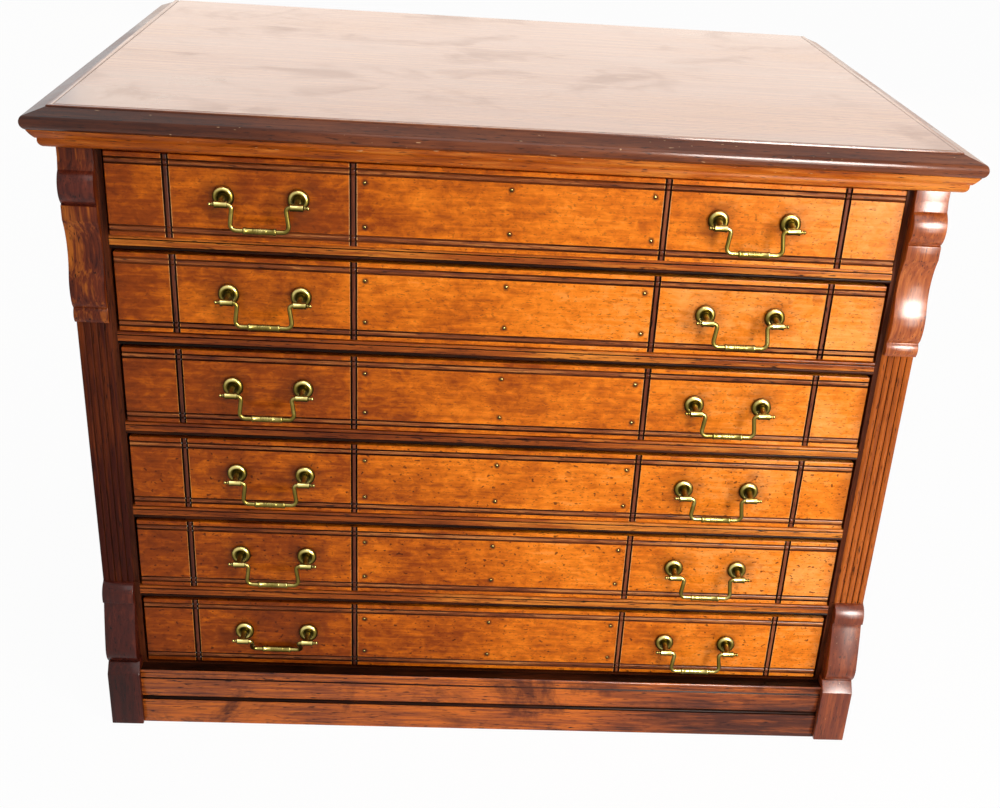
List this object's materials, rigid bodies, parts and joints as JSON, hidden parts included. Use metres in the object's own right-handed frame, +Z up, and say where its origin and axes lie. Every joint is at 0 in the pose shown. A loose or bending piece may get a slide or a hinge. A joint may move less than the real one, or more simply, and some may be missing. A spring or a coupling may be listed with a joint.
{
  "type": "spool cabinet",
  "caption": "Tabletop chest for thread spools: moulded top, carved brackets and feet, shallow sliding drawers with swinging brass bail pulls.",
  "frame": {"origin": "on the floor, in the middle of the cabinet's width and depth", "axes": "+X to the right seen from the drawers, +Y to the back, +Z up"},
  "size_m": [0.6896, 0.577, 0.512],
  "materials": {
    "case_wood": "varnished reddish brown, worn gloss",
    "drawer_front_wood": "varnished orange brown figured wood, gloss",
    "drawer_box_wood": "plain planed",
    "inner_wood": "plain planed",
    "brass": "aged"
  },
  "bodies": {
    "case": {"top_board": "case_wood", "cornice": "case_wood", "top_rail": "case_wood", "divider_rails": "case_wood", "stile_left": "case_wood", "stile_right": "case_wood", "side_frame_left": "case_wood", "side_frame_right": "case_wood", "side_panel_left": "case_wood", "side_panel_right": "case_wood", "back_panel": "inner_wood", "bottom_board": "inner_wood", "plinth": "case_wood", "upper_bracket_left": "case_wood", "upper_bracket_right": "case_wood", "foot_left": "case_wood", "foot_right": "case_wood", "runners": "inner_wood"},
    "drawer_1": {"drawer_1_front": "drawer_front_wood", "drawer_1_sides": "drawer_box_wood", "drawer_1_back": "drawer_box_wood", "drawer_1_bottom": "drawer_box_wood", "drawer_1_pull_posts": "brass"},
    "drawer_1_bail_left": {"drawer_1_bail_left": "brass"},
    "drawer_1_bail_right": {"drawer_1_bail_right": "brass"},
    "drawer_2": {"drawer_2_front": "drawer_front_wood", "drawer_2_sides": "drawer_box_wood", "drawer_2_back": "drawer_box_wood", "drawer_2_bottom": "drawer_box_wood", "drawer_2_pull_posts": "brass"},
    "drawer_2_bail_left": {"drawer_2_bail_left": "brass"},
    "drawer_2_bail_right": {"drawer_2_bail_right": "brass"},
    "drawer_3": {"drawer_3_front": "drawer_front_wood", "drawer_3_sides": "drawer_box_wood", "drawer_3_back": "drawer_box_wood", "drawer_3_bottom": "drawer_box_wood", "drawer_3_pull_posts": "brass"},
    "drawer_3_bail_left": {"drawer_3_bail_left": "brass"},
    "drawer_3_bail_right": {"drawer_3_bail_right": "brass"},
    "drawer_4": {"drawer_4_front": "drawer_front_wood", "drawer_4_sides": "drawer_box_wood", "drawer_4_back": "drawer_box_wood", "drawer_4_bottom": "drawer_box_wood", "drawer_4_pull_posts": "brass"},
    "drawer_4_bail_left": {"drawer_4_bail_left": "brass"},
    "drawer_4_bail_right": {"drawer_4_bail_right": "brass"},
    "drawer_5": {"drawer_5_front": "drawer_front_wood", "drawer_5_sides": "drawer_box_wood", "drawer_5_back": "drawer_box_wood", "drawer_5_bottom": "drawer_box_wood", "drawer_5_pull_posts": "brass"},
    "drawer_5_bail_left": {"drawer_5_bail_left": "brass"},
    "drawer_5_bail_right": {"drawer_5_bail_right": "brass"},
    "drawer_6": {"drawer_6_front": "drawer_front_wood", "drawer_6_sides": "drawer_box_wood", "drawer_6_back": "drawer_box_wood", "drawer_6_bottom": "drawer_box_wood", "drawer_6_pull_posts": "brass"},
    "drawer_6_bail_left": {"drawer_6_bail_left": "brass"},
    "drawer_6_bail_right": {"drawer_6_bail_right": "brass"}
  },
  "joints": [
    {"name": "drawer_1_slide", "type": "slide", "parent": "case", "child": "drawer_1", "axis": [0, -1, 0], "range_m": [-0.005, 0.375]},
    {"name": "drawer_1_bail_left_hinge", "type": "hinge", "parent": "drawer_1", "child": "drawer_1_bail_left", "pos_m": [-0.18195, -0.285, 0.452], "axis": [-1, 0, 0], "range_deg": [-41, 221]},
    {"name": "drawer_1_bail_right_hinge", "type": "hinge", "parent": "drawer_1", "child": "drawer_1_bail_right", "pos_m": [0.18195, -0.285, 0.452], "axis": [-1, 0, 0], "range_deg": [-41, 221]},
    {"name": "drawer_2_slide", "type": "slide", "parent": "case", "child": "drawer_2", "axis": [0, -1, 0], "range_m": [0, 0.38]},
    {"name": "drawer_2_bail_left_hinge", "type": "hinge", "parent": "drawer_2", "child": "drawer_2_bail_left", "pos_m": [-0.18195, -0.28, 0.3786], "axis": [-1, 0, 0], "range_deg": [-41, 221]},
    {"name": "drawer_2_bail_right_hinge", "type": "hinge", "parent": "drawer_2", "child": "drawer_2_bail_right", "pos_m": [0.18195, -0.28, 0.3786], "axis": [-1, 0, 0], "range_deg": [-41, 221]},
    {"name": "drawer_3_slide", "type": "slide", "parent": "case", "child": "drawer_3", "axis": [0, -1, 0], "range_m": [0, 0.38]},
    {"name": "drawer_3_bail_left_hinge", "type": "hinge", "parent": "drawer_3", "child": "drawer_3_bail_left", "pos_m": [-0.18195, -0.28, 0.3052], "axis": [-1, 0, 0], "range_deg": [-41, 221]},
    {"name": "drawer_3_bail_right_hinge", "type": "hinge", "parent": "drawer_3", "child": "drawer_3_bail_right", "pos_m": [0.18195, -0.28, 0.3052], "axis": [-1, 0, 0], "range_deg": [-41, 221]},
    {"name": "drawer_4_slide", "type": "slide", "parent": "case", "child": "drawer_4", "axis": [0, -1, 0], "range_m": [0, 0.38]},
    {"name": "drawer_4_bail_left_hinge", "type": "hinge", "parent": "drawer_4", "child": "drawer_4_bail_left", "pos_m": [-0.18195, -0.28, 0.2318], "axis": [-1, 0, 0], "range_deg": [-41, 221]},
    {"name": "drawer_4_bail_right_hinge", "type": "hinge", "parent": "drawer_4", "child": "drawer_4_bail_right", "pos_m": [0.18195, -0.28, 0.2318], "axis": [-1, 0, 0], "range_deg": [-41, 221]},
    {"name": "drawer_5_slide", "type": "slide", "parent": "case", "child": "drawer_5", "axis": [0, -1, 0], "range_m": [0, 0.38]},
    {"name": "drawer_5_bail_left_hinge", "type": "hinge", "parent": "drawer_5", "child": "drawer_5_bail_left", "pos_m": [-0.18195, -0.28, 0.1584], "axis": [-1, 0, 0], "range_deg": [-41, 221]},
    {"name": "drawer_5_bail_right_hinge", "type": "hinge", "parent": "drawer_5", "child": "drawer_5_bail_right", "pos_m": [0.18195, -0.28, 0.1584], "axis": [-1, 0, 0], "range_deg": [-41, 221]},
    {"name": "drawer_6_slide", "type": "slide", "parent": "case", "child": "drawer_6", "axis": [0, -1, 0], "range_m": [0, 0.38]},
    {"name": "drawer_6_bail_left_hinge", "type": "hinge", "parent": "drawer_6", "child": "drawer_6_bail_left", "pos_m": [-0.18195, -0.28, 0.085], "axis": [-1, 0, 0], "range_deg": [-1, 261]},
    {"name": "drawer_6_bail_right_hinge", "type": "hinge", "parent": "drawer_6", "child": "drawer_6_bail_right", "pos_m": [0.18195, -0.28, 0.085], "axis": [-1, 0, 0], "range_deg": [-41, 221]}
  ]
}
